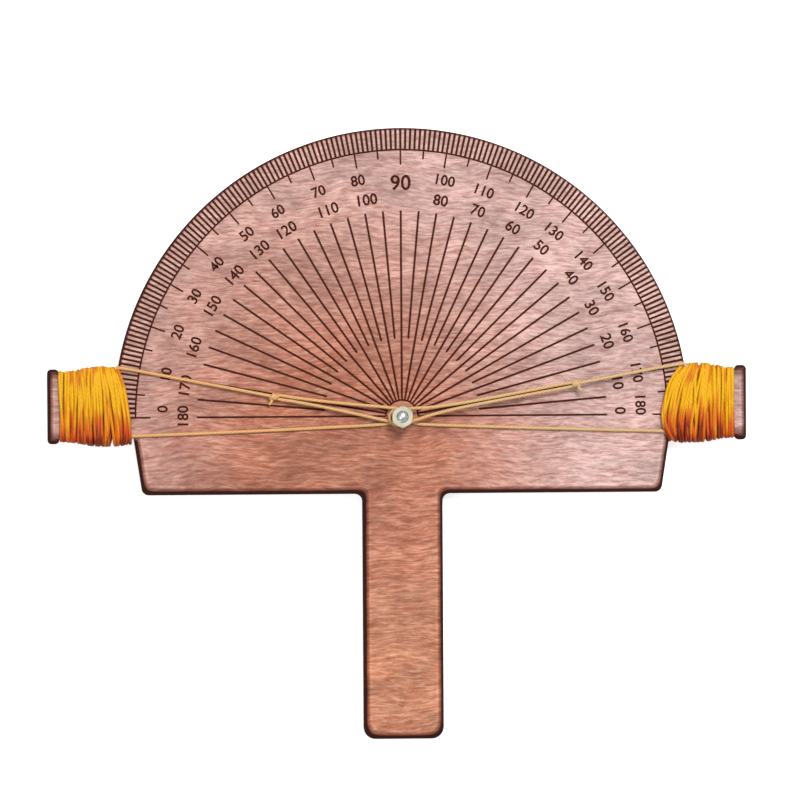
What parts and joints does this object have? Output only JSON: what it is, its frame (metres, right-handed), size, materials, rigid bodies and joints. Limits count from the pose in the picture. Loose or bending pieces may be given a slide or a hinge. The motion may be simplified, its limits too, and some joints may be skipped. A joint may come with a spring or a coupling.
{
  "type": "string protractor",
  "caption": "Hand-held plywood protractor with a degree scale, a flat handle and coiled cords that swing about a screw at its centre.",
  "frame": {"origin": "middle of the footprint at the level the gauge rests on, with the screw's axis a few millimetres towards the rim and the shorter right ear", "axes": "+X along the ears to the 180 mark of the outer scale, +Y from the handle to the 90 mark, +Z out of the engraved face"},
  "size_m": [0.243, 0.2126, 0.0168],
  "materials": {
    "plywood": "sanded birch plywood, laser-engraved, edges burnt dark",
    "zinc_steel": "bright zinc-plated steel",
    "cord": "twisted golden yellow cord"
  },
  "bodies": {
    "frame": {"board": "plywood", "pivot_screw": "zinc_steel", "back_washer": "zinc_steel", "front_nut": "zinc_steel", "left_coil": "cord", "right_coil": "cord", "base_cord": "cord"},
    "left_string": {"left_eye": "cord", "left_knot": "cord", "left_line": "cord"},
    "right_string": {"right_eye": "cord", "right_knot": "cord", "right_line": "cord"}
  },
  "joints": [
    {"name": "left_string_swing", "type": "hinge", "parent": "frame", "child": "left_string", "pos_m": [0.0015, 0.00625, 0.00995], "axis": [0, 0, -1], "range_deg": [0, 150]},
    {"name": "right_string_swing", "type": "hinge", "parent": "frame", "child": "right_string", "pos_m": [0.0015, 0.00625, 0.01155], "axis": [0, 0, 1], "range_deg": [0, 150]}
  ]
}
